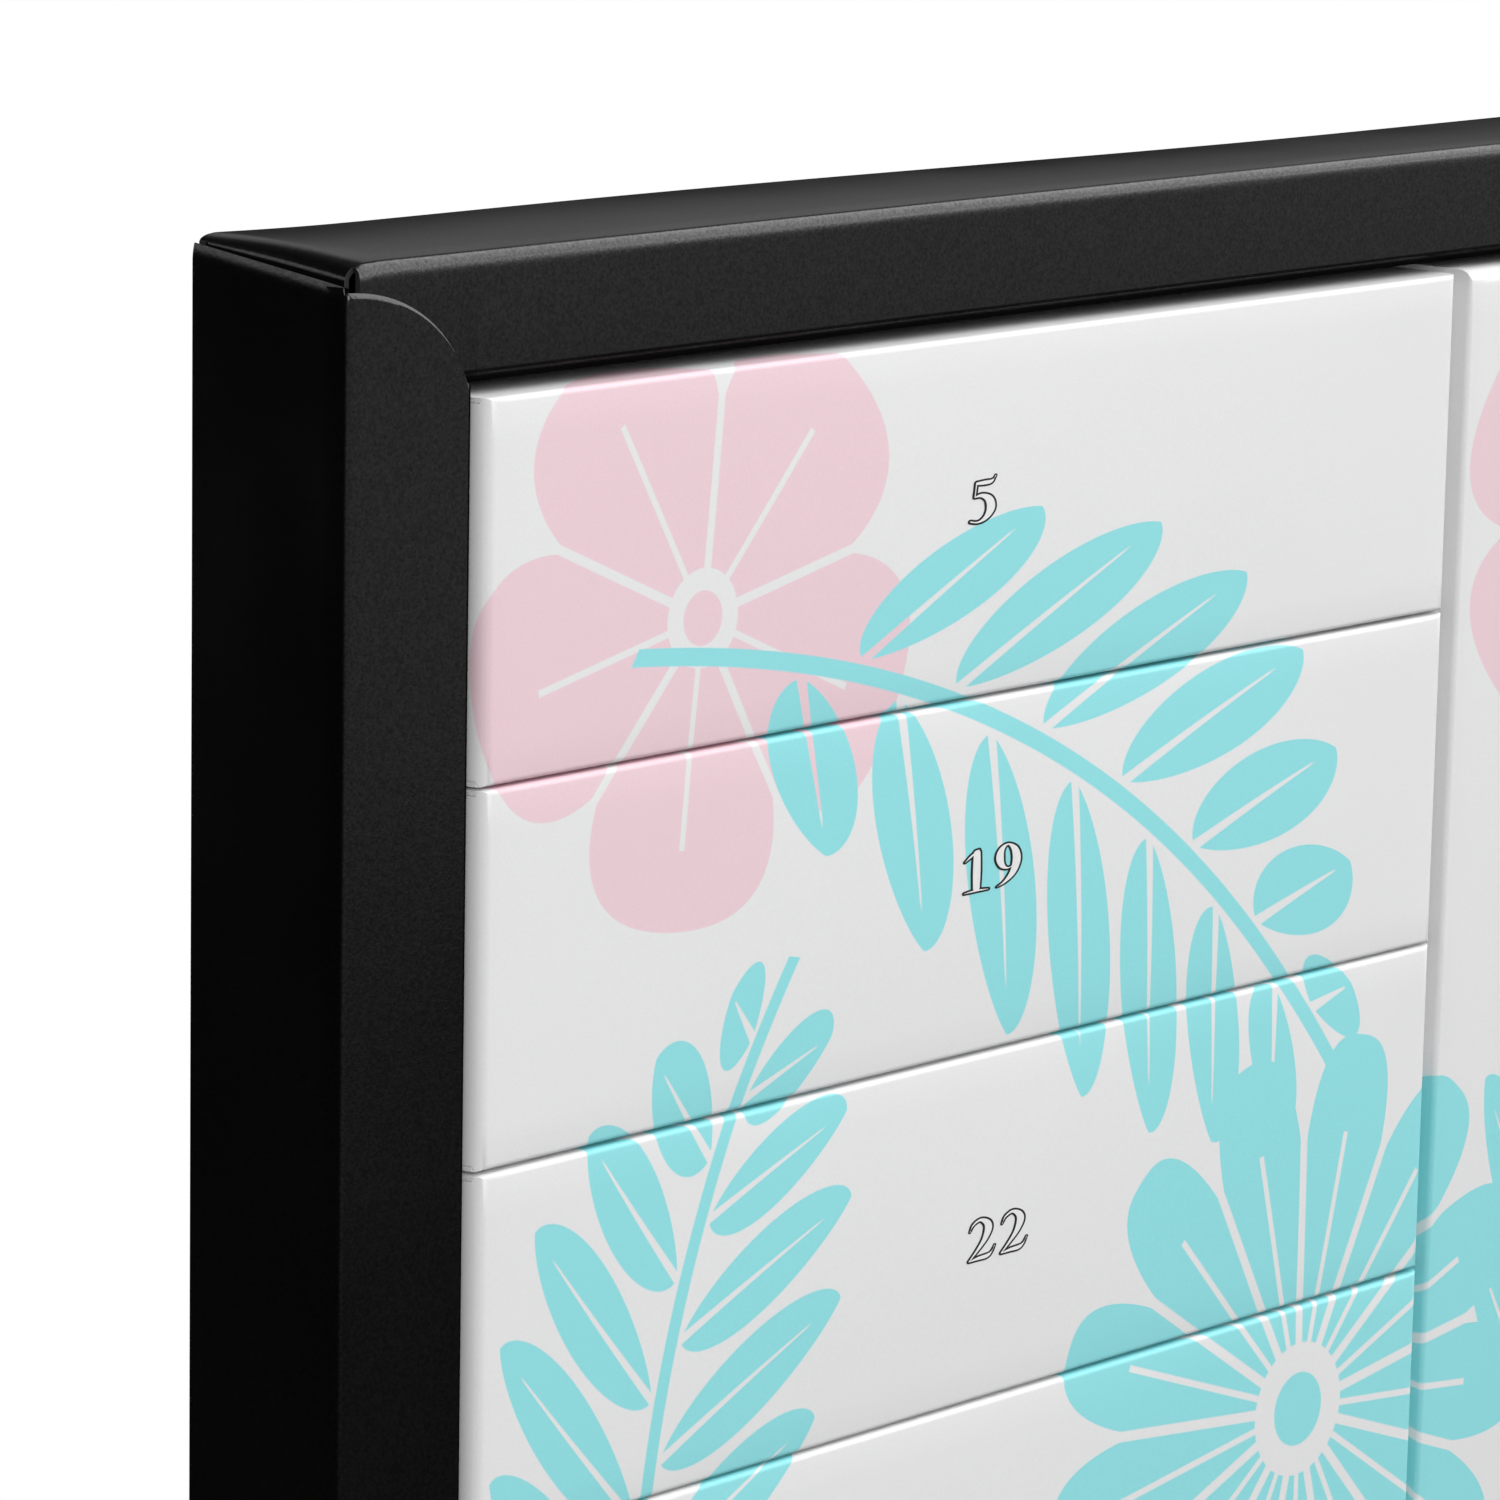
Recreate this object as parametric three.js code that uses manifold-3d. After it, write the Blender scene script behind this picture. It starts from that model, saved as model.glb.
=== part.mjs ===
// A box advent calendar: twenty-four lidded card boxes packed in a black card frame.
// Millimetres, +Z up. The printed fronts face -Y and the origin is the middle of the base.
import * as THREE from "three";
import { mergeVertices } from "three/addons/utils/BufferGeometryUtils.js";
import Module from "manifold-3d";

const wasm = await Module();
wasm.setup();

// Layout of the boxes: blocks of equal boxes lie across and upright by turns, like basket weave.
const boxPitch = 37.5; // from one box to the next in a block
const boxesPerBlock = 4; // this many box widths make one box length
const blockDays = [
  [
    ["05", "19", "22", "08"],
    ["14", "01", "23", "10"],
    ["03", "17", "12", "20"],
  ],
  [
    ["16", "07", "21", "02"],
    ["11", "24", "06", "13"],
    ["09", "18", "04", "15"],
  ],
]; // the day on each box, from the top row of blocks down

// Gift box
const boxGap = 0.4; // air between neighbouring boxes
const columnGap = 1.2; // further air between the columns of blocks
const boxProud = 1; // how far the boxes stand out of the frame
const lidCard = 0.5; // thickness of the printed lid's card
const trayCard = 0.5; // thickness of the tray's card
const lidFold = 0.8; // outer radius of the lid's folds
const trayFold = 0.8; // outer radius of the tray's folds
const lidFit = 0.3; // air between the tray and the lid around it
const lidShort = 1; // how much of the tray's back shows behind the lid's rim
const cornerSeam = 0.3; // rebate where two folded walls meet at a corner

// Frame
const frameCard = 0.6; // thickness of the black card
const frameFold = 0.9; // outer radius of its folds
const backBoard = 1; // thickness of the back panel
const frameDepth = 21; // from the back panel's rear face to the front of the side rails
const sideRail = 16.3; // width of the left and right rails' fronts
const topRail = 12.3; // height of the top rail's front
const bottomRail = 12.3; // height of the bottom rail's front
const sidePlay = 0.5; // air between the boxes and each side rail
const topPlay = 1.1; // air between the boxes and the top rail
const boxSeat = 0.1; // air under the lowest boxes
const layerGap = 0.15; // air between two layers of card
const wallDrop = 0.5; // how far the side walls' ends stay inside the top and bottom faces
const tabLength = 11; // length of the tabs folded down inside the corners

const foldSteps = 3; // facets on a fold
const cornerSteps = 10; // facets on the side rails' round front corners
const cutOverrun = 2; // how far a cutter runs past what it cuts

// Sizes that follow
const blockSide = boxPitch * boxesPerBlock;
const blocksHigh = blockDays.length;
const blocksAcross = blockDays[0].length;
const columnPitch = blockSide + columnGap;
const openingWidth = blockSide + (blocksAcross - 1) * columnPitch + 2 * sidePlay;
const openingHeight = boxSeat + blocksHigh * blockSide + topPlay;
const frameWidth = openingWidth + 2 * sideRail;
const frameHeight = bottomRail + openingHeight + topRail;
const backY = (frameDepth + boxProud) / 2;
const frameFrontY = backY - frameDepth;
const boxFrontY = frameFrontY - boxProud;
const panelFrontY = backY - backBoard; // front face of the back panel
const railBackY = panelFrontY - layerGap; // where the rails' walls end
const endRailFrontY = frameFrontY + frameCard + layerGap; // the end rails' fronts lie under the side rails' ends
const trayBackY = panelFrontY - lidFit;
const lidBackY = trayBackY - lidShort;
const trayFrontY = boxFrontY + lidCard + lidFit;
const lidLength = blockSide - boxGap;
const lidWidth = boxPitch - boxGap;
const trayInset = 2 * (lidCard + lidFit);

const blackCard = new THREE.MeshStandardMaterial({ color: 0x232325, roughness: 0.62, metalness: 0 });
const printedCard = new THREE.MeshStandardMaterial({ color: 0xf1f1f2, roughness: 0.45, metalness: 0 });
const plainCard = new THREE.MeshStandardMaterial({ color: 0xe9e8e4, roughness: 0.75, metalness: 0 });

// A closed three.js geometry as a solid that can be cut and joined.
function solid(geometry) {
  const bare = geometry.index ? geometry.toNonIndexed() : geometry.clone();
  bare.deleteAttribute("normal");
  bare.deleteAttribute("uv");
  const merged = mergeVertices(bare);
  return new wasm.Manifold(
    new wasm.Mesh({
      numProp: 3,
      vertProperties: new Float32Array(merged.attributes.position.array),
      triVerts: new Uint32Array(merged.index.array),
    }),
  );
}

// A solid as a named mesh.
function meshOf(shape, name, material) {
  const data = shape.getMesh();
  const geometry = new THREE.BufferGeometry();
  geometry.setAttribute("position", new THREE.BufferAttribute(new Float32Array(data.vertProperties), 3));
  geometry.setIndex(new THREE.BufferAttribute(new Uint32Array(data.triVerts), 1));
  geometry.computeVertexNormals();
  const mesh = new THREE.Mesh(geometry, material);
  mesh.name = name;
  return mesh;
}

// A box between two opposite corners.
function plate([x0, y0, z0], [x1, y1, z1]) {
  const geometry = new THREE.BoxGeometry(x1 - x0, y1 - y0, z1 - z0);
  geometry.translate((x0 + x1) / 2, (y0 + y1) / 2, (z0 + z1) / 2);
  return solid(geometry);
}

// A block whose front edges, at y = 0, are rounded, and that runs back to y = depth.
function foldedBlock(length, width, depth, fold) {
  const outline = new THREE.Shape();
  outline.moveTo(-length / 2, -width / 2);
  outline.lineTo(length / 2, -width / 2);
  outline.lineTo(length / 2, width / 2);
  outline.lineTo(-length / 2, width / 2);
  outline.closePath();
  const rounded = fold > 0;
  const geometry = new THREE.ExtrudeGeometry(outline, {
    depth: depth,
    bevelEnabled: rounded,
    bevelThickness: fold,
    bevelSize: fold,
    bevelOffset: -fold,
    bevelSegments: foldSteps,
    curveSegments: 1,
  });
  geometry.rotateX(-Math.PI / 2);
  geometry.translate(0, rounded ? fold : 0, 0);
  const keep = plate([-length, 0, -width], [length, depth, width]);
  return solid(geometry).intersect(keep);
}

// An open tray of folded card: its floor is at y = 0 and its walls run back to y = depth.
// A small rebate down each corner shows where two walls meet.
function foldedTray(length, width, depth, card, fold) {
  const hollow = foldedBlock(length - 2 * card, width - 2 * card, depth + cutOverrun, Math.max(fold - card, 0));
  let tray = foldedBlock(length, width, depth, fold).subtract(hollow.translate(0, card, 0));
  for (const side of [-1, 1]) {
    for (const end of [-1, 1]) {
      const x = (side * length) / 2;
      const z = (end * width) / 2;
      const rebate = plate(
        [x - cornerSeam, fold, z - cornerSeam],
        [x + cornerSeam, depth + cutOverrun, z + cornerSeam],
      );
      tray = tray.subtract(rebate);
    }
  }
  return tray;
}

// A strip of card bent round square folds, as an outline: a wall, a front and a second wall.
// The front lies along the first axis from 0 to span, and both walls run back along the second axis.
function channelOutline(span, firstWall, secondWall, card, fold) {
  const inner = Math.max(fold - card, 0);
  const outline = new THREE.Shape();
  outline.moveTo(0, firstWall);
  outline.lineTo(0, fold);
  outline.absarc(fold, fold, fold, Math.PI, 1.5 * Math.PI, false);
  outline.lineTo(span - fold, 0);
  outline.absarc(span - fold, fold, fold, -Math.PI / 2, 0, false);
  outline.lineTo(span, secondWall);
  outline.lineTo(span - card, secondWall);
  if (inner > 0) {
    outline.lineTo(span - card, fold);
    outline.absarc(span - fold, fold, inner, 0, -Math.PI / 2, true);
    outline.lineTo(fold, card);
    outline.absarc(fold, fold, inner, -Math.PI / 2, -Math.PI, true);
  } else {
    outline.lineTo(span - card, card);
    outline.lineTo(card, card);
  }
  outline.lineTo(card, firstWall);
  outline.closePath();
  return outline;
}

// An outline extruded by a length, along +Z.
function extruded(outline, length) {
  return new THREE.ExtrudeGeometry(outline, {
    depth: length,
    bevelEnabled: false,
    curveSegments: foldSteps,
  });
}

// The top or bottom rail, drawn as the top one: a channel open to the back, whose outer wall
// ends in tabs folded down inside the corners.
function endRail(height) {
  const halfLength = frameWidth / 2 - frameCard - layerGap;
  const depth = railBackY - endRailFrontY;
  const channel = extruded(channelOutline(height, depth, depth, frameCard, frameFold), 2 * (halfLength - frameFold));
  // The outline's first axis goes down, its second one back, and the extrusion runs along X.
  channel.applyMatrix4(
    new THREE.Matrix4().makeBasis(
      new THREE.Vector3(0, 0, -1),
      new THREE.Vector3(0, 1, 0),
      new THREE.Vector3(1, 0, 0),
    ),
  );
  channel.translate(-(halfLength - frameFold), endRailFrontY, frameHeight);
  let rail = solid(channel);
  const tabTop = channelOutline(2 * halfLength, tabLength, tabLength, frameCard, frameFold);
  const tabs = extruded(tabTop, depth - frameFold);
  // The outline's first axis goes along X, its second one down, and the extrusion runs back.
  tabs.applyMatrix4(
    new THREE.Matrix4().makeBasis(
      new THREE.Vector3(1, 0, 0),
      new THREE.Vector3(0, 0, -1),
      new THREE.Vector3(0, 1, 0),
    ),
  );
  tabs.translate(-halfLength, endRailFrontY + frameFold, frameHeight);
  rail = rail.add(solid(tabs));
  return rail;
}

// One side rail, drawn as the left one: a channel open to the back, whose front runs on over
// the end rails to the frame's outer corners, where its ends are cut to a quarter round.
function sideRailShape() {
  const length = frameHeight - 2 * wallDrop;
  const depth = railBackY - frameFrontY;
  const channel = extruded(channelOutline(sideRail, depth, depth, frameCard, frameFold), length);
  channel.translate(-frameWidth / 2, frameFrontY, wallDrop);
  let rail = solid(channel);
  const innerX = -frameWidth / 2 + sideRail;
  const outerX = -frameWidth / 2;
  const ends = [
    { cornerZ: bottomRail, tipZ: wallDrop, away: -1 },
    { cornerZ: frameHeight - topRail, tipZ: frameHeight - wallDrop, away: 1 },
  ];
  for (const { cornerZ, tipZ, away } of ends) {
    const radiusZ = Math.abs(tipZ - cornerZ);
    const farZ = tipZ + away * cutOverrun;
    // The inner wall stops short of the end rail's inner wall.
    const wallEndZ = cornerZ - away * layerGap;
    rail = rail.subtract(
      plate(
        [outerX + frameCard + cutOverrun, frameFrontY + frameCard, Math.min(wallEndZ, farZ)],
        [innerX + cutOverrun, railBackY + cutOverrun, Math.max(wallEndZ, farZ)],
      ),
    );
    // The front's end outside a quarter ellipse from the outer corner to the inner one.
    const waste = new THREE.Shape();
    waste.moveTo(innerX, cornerZ);
    for (let step = 1; step <= cornerSteps; step += 1) {
      const turn = (step / cornerSteps) * (Math.PI / 2);
      waste.lineTo(outerX + sideRail * Math.cos(turn), cornerZ + away * radiusZ * Math.sin(turn));
    }
    waste.lineTo(outerX, farZ);
    waste.lineTo(innerX + cutOverrun, farZ);
    waste.lineTo(innerX + cutOverrun, cornerZ);
    waste.closePath();
    const cutter = extruded(waste, frameCard + cutOverrun);
    cutter.rotateX(Math.PI / 2);
    cutter.translate(0, frameFrontY + frameCard, 0);
    rail = rail.subtract(solid(cutter));
  }
  return rail;
}

// The frame's five pieces.
function buildFrame() {
  const frame = new THREE.Group();
  const panel = plate([-frameWidth / 2, panelFrontY, 0], [frameWidth / 2, backY, frameHeight]);
  frame.add(meshOf(panel, "back_panel", blackCard));
  frame.add(meshOf(endRail(topRail), "top_rail", blackCard));
  const bottom = endRail(bottomRail).mirror([0, 0, 1]).translate(0, 0, frameHeight);
  frame.add(meshOf(bottom, "bottom_rail", blackCard));
  const left = sideRailShape();
  frame.add(meshOf(left, "left_rail", blackCard));
  frame.add(meshOf(left.mirror([1, 0, 0]), "right_rail", blackCard));
  return frame;
}

// One gift box, drawn lying across with its middle at the origin: a printed lid that faces
// the front and a plain tray that opens into it.
function buildBox(day) {
  const box = new THREE.Group();
  const lid = foldedTray(lidLength, lidWidth, lidBackY - boxFrontY, lidCard, lidFold);
  box.add(meshOf(lid.translate(0, boxFrontY, 0), `box_${day}_lid`, printedCard));
  const tray = foldedTray(
    lidLength - trayInset,
    lidWidth - trayInset,
    trayBackY - trayFrontY,
    trayCard,
    trayFold,
  );
  const facingFront = tray.mirror([0, 1, 0]).translate(0, trayBackY, 0);
  box.add(meshOf(facingFront, `box_${day}_tray`, plainCard));
  return box;
}

// All boxes, each in its place in its block.
function buildBoxes() {
  const boxes = new THREE.Group();
  const fieldTop = bottomRail + boxSeat + blocksHigh * blockSide;
  blockDays.forEach((row, rowIndex) => {
    row.forEach((days, columnIndex) => {
      const centreX = (columnIndex - (blocksAcross - 1) / 2) * columnPitch;
      const centreZ = fieldTop - (rowIndex + 1 / 2) * blockSide;
      const upright = (rowIndex + columnIndex) % 2 === 1;
      days.forEach((day, index) => {
        const offset = (index - (boxesPerBlock - 1) / 2) * boxPitch;
        const box = buildBox(day);
        box.position.set(centreX + (upright ? offset : 0), 0, centreZ - (upright ? 0 : offset));
        box.rotation.y = upright ? Math.PI / 2 : 0;
        boxes.add(box);
      });
    });
  });
  return boxes;
}

const calendar = new THREE.Group();
calendar.add(buildFrame());
calendar.add(buildBoxes());

export default calendar;
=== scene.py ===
"""Dresses the box advent calendar: folded card, print, numbers, light and camera.

Sizes are in metres. The box fronts face -Y and the calendar stands on z = 0.
"""
import math
import random

import bmesh
import bpy
from mathutils import Matrix, Vector, noise


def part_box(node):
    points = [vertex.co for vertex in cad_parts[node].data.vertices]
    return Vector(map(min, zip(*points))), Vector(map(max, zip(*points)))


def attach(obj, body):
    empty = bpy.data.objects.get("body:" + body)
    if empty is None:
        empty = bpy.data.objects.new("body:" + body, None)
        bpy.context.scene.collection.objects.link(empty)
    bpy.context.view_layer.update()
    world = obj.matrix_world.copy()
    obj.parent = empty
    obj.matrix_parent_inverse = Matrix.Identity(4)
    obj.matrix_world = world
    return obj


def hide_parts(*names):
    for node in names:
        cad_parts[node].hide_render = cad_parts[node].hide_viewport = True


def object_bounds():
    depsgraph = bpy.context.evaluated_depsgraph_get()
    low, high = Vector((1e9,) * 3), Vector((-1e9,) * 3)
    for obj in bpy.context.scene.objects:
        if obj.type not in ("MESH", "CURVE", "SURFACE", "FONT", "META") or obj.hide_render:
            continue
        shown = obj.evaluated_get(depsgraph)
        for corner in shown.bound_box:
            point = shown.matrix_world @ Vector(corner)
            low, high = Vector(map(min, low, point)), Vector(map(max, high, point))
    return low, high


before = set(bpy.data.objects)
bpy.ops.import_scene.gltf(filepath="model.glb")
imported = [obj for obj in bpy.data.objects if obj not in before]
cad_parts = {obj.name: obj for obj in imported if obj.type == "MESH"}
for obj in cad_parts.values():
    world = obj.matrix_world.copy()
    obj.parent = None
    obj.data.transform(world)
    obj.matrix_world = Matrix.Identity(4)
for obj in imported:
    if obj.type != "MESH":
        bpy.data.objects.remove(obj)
cad_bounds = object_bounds()

MM = 0.001

# The rails' card, which is folded round their fronts.
RAIL_CARD = 0.6 * MM
RAIL_FOLD = 0.9 * MM
SIDE_FOLD = 0.65 * MM
SIDE_HEM_FOLD = 0.55 * MM
RAIL_CROWN = 0.12 * MM
# Beyond this turn of the hem the card is painted sheenless black: painted shade under the rail.
HEM_SHADE_TURN = math.radians(95)
RAW_BEVEL = 0.3 * MM
LAYER_GAP = 0.15 * MM
LAYER_STEP = 0.1 * MM
LAYER_STEP_START_SHARE = 4 / 15
LAYER_STEP_END_SHARE = 9 / 15

# The end rails' outer walls: tabs folded down in the corners, and a press that rounds the wall there.
TAB_LENGTH = 11 * MM
TAB_TUCK = 0.5 * MM
TAB_TUCK_BACK = 0.1 * MM
FRONT_TUCK = 1.55 * MM
CREASE_INSET = 0.5 * MM
CREASE_STEPS_MM = (-0.9, -0.2, 0.2, 2)
PRESS_REACH_FRONT = 2.2 * MM
PRESS_REACH_BACK = 2.4 * MM
PRESS_DROP_FRONT = 1.4 * MM
PRESS_DROP_BACK = 0.85 * MM
PRESS_DROP_BETWEEN = 0.5 * MM
DIP_REACH = 6 * MM
DIP_DROP = 0.35 * MM
PRESS_FADE = 3 * MM

# The side rails' outer walls, and how far inside the frame's flat upper and lower faces they end.
WALL_DROP_FRONT = 1.95 * MM
WALL_DROP_BACK_ABOVE = -0.25 * MM
WALL_DROP_BACK_BELOW = 0.3 * MM
WALL_CURL = 0.25 * MM
WALL_CURL_REACH = 1.7 * MM
WALL_WAVE = 0.1 * MM
WALL_WAVE_FADE = 5 * MM
WALL_WAVES_PER_METRE = (30, 60, 14)
END_ROWS_MM = (0, 0.35, 0.6, 0.85, 1.1, 1.5, 2.5, 5, 9)

# The round flaps at the ends of the side rails' fronts.
FLAP_TIP_DROP = 2.5 * MM
FLAP_HEIGHT = 13.2 * MM
FLAP_POWER = 2

# The calendar's top, which isn't quite flat.
TOP_BULGE = 0.4 * MM
TOP_SAG = 0.3 * MM
TOP_LIFT = 1 * MM
TOP_LIFT_FADE = (45 * MM, 175 * MM)
CORNER_LIFT = 0.45 * MM
CORNER_LIFT_REACH = 22 * MM

# Lids, trays and the back board.
LID_CARD = 0.5 * MM
LID_END_FOLD = 1.7 * MM
LID_SIDE_FOLD = 0.6 * MM
LID_END_GROWTH = 0.05 * MM
LID_CROWN = 0.25 * MM
TRAY_CARD = 0.5 * MM
TRAY_FOLD = 0.8 * MM
TRAY_SHORT = 0.4 * MM
CORNER_GAP = 0.05 * MM
BOARD = 1 * MM
BOARD_RECESS = 0.1 * MM
BOARD_BOW = 0.15 * MM

# How finely the sheets are divided.
FOLD_STEPS = 6
FRONT_STEPS = 20
OUTER_WALL_STEPS = 8
INNER_WALL_STEPS = 5
SIDE_RAIL_STEPS = 40
END_RAIL_STEPS = 60
END_PANEL_STEPS = 16
TAB_STEPS = 4
BOARD_STEPS_ALONG = 60
BOARD_STEPS_UP = 24
FACE_STEPS_ALONG = 36
FACE_STEPS_ACROSS = 10
CASE_WALL_STEPS = 5
MERGE_DISTANCE = 0.001 * MM
SHARP_ANGLE = math.radians(42)

# Lean of the boxes in their blocks: the second block's boxes lean to the right.
BLOCK_LEAN_DEGREES = {14: 0.55, 1: 0.5, 23: 0.42, 10: 0.3}
LOOSE_LEAN_DEGREES = 0.06

# Numbers on the lids, and where they stand from the middle of their lids.
DIGIT_HEIGHT = 4.6 * MM
DIGIT_WIDTH_SHARE = 0.6
DIGIT_ADVANCE_SHARE = 0.68
DIGIT_STRETCH = 1.62
DIGIT_LINE = 0.2 * MM
INK_LIFT = 0.03 * MM
FILL_LIFT = 0.05 * MM
STROKE_LIFT = 0.002 * MM
INK_THICKNESS = 0.02 * MM
INK_MERGE_DISTANCE = 0.0005 * MM
STROKE_STEPS = 7
CAP_STEPS = 4
NUMBER_SHIFT_MM = {5: (-3.9, 1.7), 19: (-1.05, 0.8), 22: (1.35, -1.1)}
NUMBER_PLAY_MM = 1.2

# The photograph's camera, in its own pixels and in the calendar's frame.
PHOTO_SIZE_PX = 1500
FOCAL_LENGTH_PX = 6730.7
SENSOR_WIDTH_MM = 36
CAMERA_FROM_CORNER = Vector((-437.67, -442.68, 88.12)) * MM
CAMERA_YAW = math.radians(-47.101)
CAMERA_PITCH = math.radians(11.123)
CAMERA_ROLL = math.radians(1.094)
CAMERA_CLIP_START = 10 * MM

DAYS = 24
SEED = 24

rng = random.Random(SEED)


# Node trees written as sums.


class Value:
    """A number in a node tree that can be added, multiplied and so on like a plain one."""

    def __init__(self, tree, socket):
        self.tree = tree
        self.socket = socket

    def math(self, operation, *others):
        node = self.tree.nodes.new("ShaderNodeMath")
        node.operation = operation
        for socket, value in zip(node.inputs, (self, *others)):
            feed(self.tree, socket, value)
        return Value(self.tree, node.outputs[0])

    def __add__(self, other):
        return self.math("ADD", other)

    def __sub__(self, other):
        return self.math("SUBTRACT", other)

    def __rsub__(self, other):
        return self.math("MULTIPLY", -1).math("ADD", other)

    def __mul__(self, other):
        return self.math("MULTIPLY", other)

    def __truediv__(self, other):
        return self.math("DIVIDE", other)

    def __rtruediv__(self, other):
        return self.math("POWER", -1).math("MULTIPLY", other)

    def __pow__(self, other):
        return self.math("POWER", other)

    def __abs__(self):
        return self.math("ABSOLUTE")

    def floor(self):
        return self.math("FLOOR")

    def clamp(self):
        """The value held between 0 and 1."""
        return self.math("MAXIMUM", 0).math("MINIMUM", 1)

    def inside(self, softness):
        """1 where the value is above 0 and 0 where it is below, with an edge of that softness."""
        return (self / softness + 0.5).clamp()


def feed(tree, socket, value):
    """Sets a socket to a plain value, or links a Value or a socket to it."""
    if isinstance(value, Value):
        tree.links.new(value.socket, socket)
    elif isinstance(value, bpy.types.NodeSocket):
        tree.links.new(value, socket)
    else:
        socket.default_value = value


def add_node(tree, kind, settings=None, **inputs):
    """Adds a node with its settings and inputs; an input's name has _ for a space."""
    node = tree.nodes.new(kind)
    for name, value in (settings or {}).items():
        setattr(node, name, value)
    for name, value in inputs.items():
        feed(tree, node.inputs[name.replace("_", " ")], value)
    return node


def mix_colour(tree, share, first, second):
    """A colour between two colours."""
    node = tree.nodes.new("ShaderNodeMix")
    node.data_type = "RGBA"
    feed(tree, node.inputs[0], share)
    feed(tree, node.inputs[6], first)
    feed(tree, node.inputs[7], second)
    return node.outputs[2]


def new_material(name):
    """An empty node material with its output node."""
    material = bpy.data.materials.new(name)
    material.use_nodes = True
    tree = material.node_tree
    tree.nodes.clear()
    return material, tree, tree.nodes.new("ShaderNodeOutputMaterial")


def grey(value):
    """A colour without a tint."""
    return (value, value, value, 1)


# Card surfaces.

GRAIN_DETAIL = 3.0
GRAIN_ROUGHNESS = 0.65
PANEL_WAVES_PER_METRE = 45.0
NOISE_LOW = 0.3
NOISE_HIGH = 0.7
ROUGHNESS_RANGE = 0.03


def card_grain(tree, grain, depth, waviness):
    """Noise and a normal for the fine grain of card and the soft unevenness of a glued panel."""
    place = add_node(tree, "ShaderNodeTexCoord").outputs["Object"]
    fine = add_node(tree, "ShaderNodeTexNoise", Vector=place, Scale=1 / grain, Detail=GRAIN_DETAIL,
                    Roughness=GRAIN_ROUGHNESS)
    broad = add_node(tree, "ShaderNodeTexNoise", Vector=place, Scale=PANEL_WAVES_PER_METRE, Detail=1.0)
    first = add_node(tree, "ShaderNodeBump", Height=fine.outputs["Fac"], Strength=1.0, Distance=depth)
    second = add_node(
        tree, "ShaderNodeBump", Height=broad.outputs["Fac"], Strength=1.0, Distance=waviness,
        Normal=first.outputs["Normal"],
    )
    return fine.outputs["Fac"], broad.outputs["Fac"], second.outputs["Normal"]


def noise_between(tree, noise_value, low, high):
    """A noise spread from low to high."""
    node = add_node(
        tree, "ShaderNodeMapRange", Value=noise_value,
        From_Min=NOISE_LOW, From_Max=NOISE_HIGH, To_Min=low, To_Max=high,
    )
    return node.outputs["Result"]


def finish_card(
        tree, output, colour, roughness, specular, grain, depth, waviness, tone_range, speckle=0):
    """Joins a colour to a card surface with grain, an uneven tone and, by speckle, an uneven sheen."""
    fine, broad, normal = card_grain(tree, grain, depth, waviness)
    tone = noise_between(tree, fine, 1 - tone_range, 1 + tone_range)
    toned = add_node(tree, "ShaderNodeVectorMath", {"operation": "SCALE"}, Scale=tone)
    feed(tree, toned.inputs[0], colour if isinstance(colour, bpy.types.NodeSocket) else colour[:3])
    rough = noise_between(tree, broad, roughness - ROUGHNESS_RANGE, roughness + ROUGHNESS_RANGE)
    shader = add_node(tree, "ShaderNodeBsdfPrincipled", Base_Color=toned.outputs["Vector"],
                      Roughness=rough, Normal=normal)
    shader.inputs["Specular IOR Level"].default_value = specular
    if speckle:
        sheen = noise_between(tree, fine, specular * (1 - speckle), specular * (1 + speckle))
        feed(tree, shader.inputs["Specular IOR Level"], sheen)
    feed(tree, output.inputs["Surface"], shader.outputs["BSDF"])


def card_material(name, colour, **finish):
    """A card material of one colour."""
    material, tree, output = new_material(name)
    finish_card(tree, output, colour, **finish)
    return material


def black_card():
    """The frame's black card: fine grain and a dull sheen."""
    return card_material("black_card", grey(0.003), roughness=0.21, specular=0.5, grain=0.35 * MM,
                         depth=0.011 * MM, waviness=0.08 * MM, tone_range=0.4, speckle=0.4)


def matt_black_card():
    """The back of the black card, without its sheen. On the rails it is also painted shade on the hems,
    inner walls and cut edges.
    """
    return card_material("matt_black_card", grey(0.004), roughness=0.9, specular=0.0, grain=0.35 * MM,
                         depth=0.01 * MM, waviness=0.08 * MM, tone_range=0.25)


def board_card():
    """The back board's black paper, which is duller and a little greyer than the frame's card."""
    return card_material("board_card", grey(0.022), roughness=0.6, specular=0.4, grain=0.35 * MM,
                         depth=0.012 * MM, waviness=0.08 * MM, tone_range=0.2)


def cut_edge(name, shade):
    """The raw cut edge of card, with a fine rough grain for its fibres."""
    return card_material(name, grey(shade), roughness=0.85, specular=0.2, grain=0.15 * MM,
                         depth=0.02 * MM, waviness=0.05 * MM, tone_range=0.2)


def plain_card():
    """Unprinted white card, for the trays and the lids' insides."""
    return card_material("plain_card", (0.79, 0.785, 0.76, 1), roughness=0.8, specular=0.25,
                         grain=0.25 * MM, depth=0.012 * MM, waviness=0.1 * MM, tone_range=0.03)


def ink(name, colour):
    """Ink of a printed number."""
    return card_material(name, colour, roughness=0.5, specular=0.4, grain=0.25 * MM,
                         depth=0.004 * MM, waviness=0.02 * MM, tone_range=0.04)


# The printed picture: sprigs, daisies and blossoms of the calendar's own.

WHITE_PRINT = (0.84, 0.84, 0.845, 1)
TURQUOISE = (0.305, 0.78, 0.815, 1)
PINK = (0.87, 0.645, 0.705, 1)
PRINT_SOFTNESS = 0.16 * MM
PRINT_MARGIN = 24 * MM
MOTIF_REACH_SHARE = 0.6


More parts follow.
